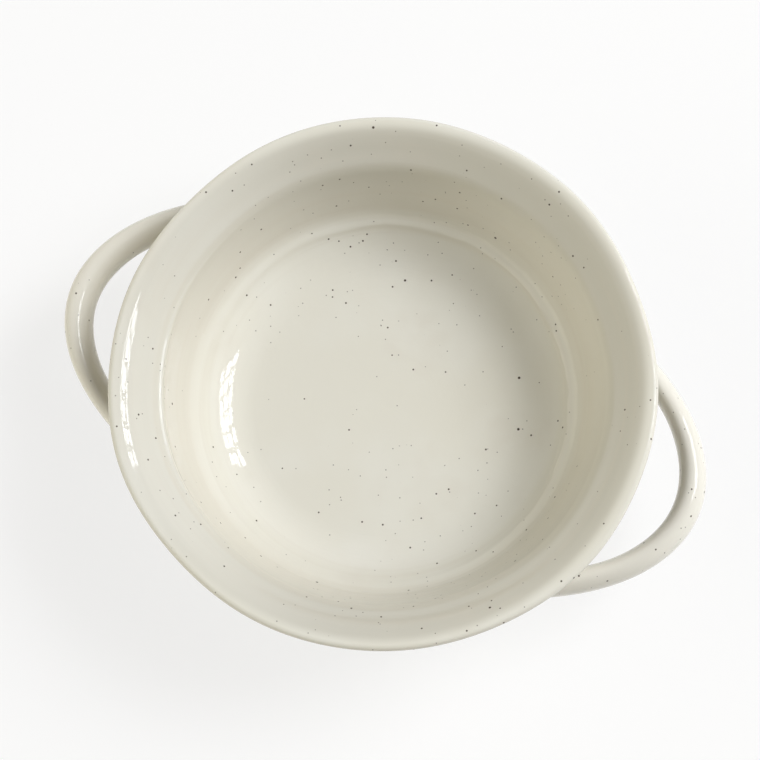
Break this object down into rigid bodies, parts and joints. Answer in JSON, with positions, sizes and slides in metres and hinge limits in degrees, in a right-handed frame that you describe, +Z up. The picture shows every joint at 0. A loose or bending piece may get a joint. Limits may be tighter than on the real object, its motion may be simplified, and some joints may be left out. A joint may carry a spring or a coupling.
{
  "type": "two-handled soup bowl",
  "caption": "Round stoneware soup bowl with a flared lip, a stepped well, a foot ring and a looped strap handle on each side for carrying it.",
  "frame": {"origin": "centre of the foot ring's resting face, on the bowl's axis", "axes": "+Z up along the bowl's axis, +X through the right handle, +Y square to the handles"},
  "size_m": [0.2072, 0.1647, 0.052],
  "materials": {
    "glaze": "glossy cream glaze with fine dark brown iron specks"
  },
  "bodies": {
    "root": {"bowl_body": "glaze", "handle_left": "glaze", "handle_right": "glaze"}
  },
  "joints": []
}
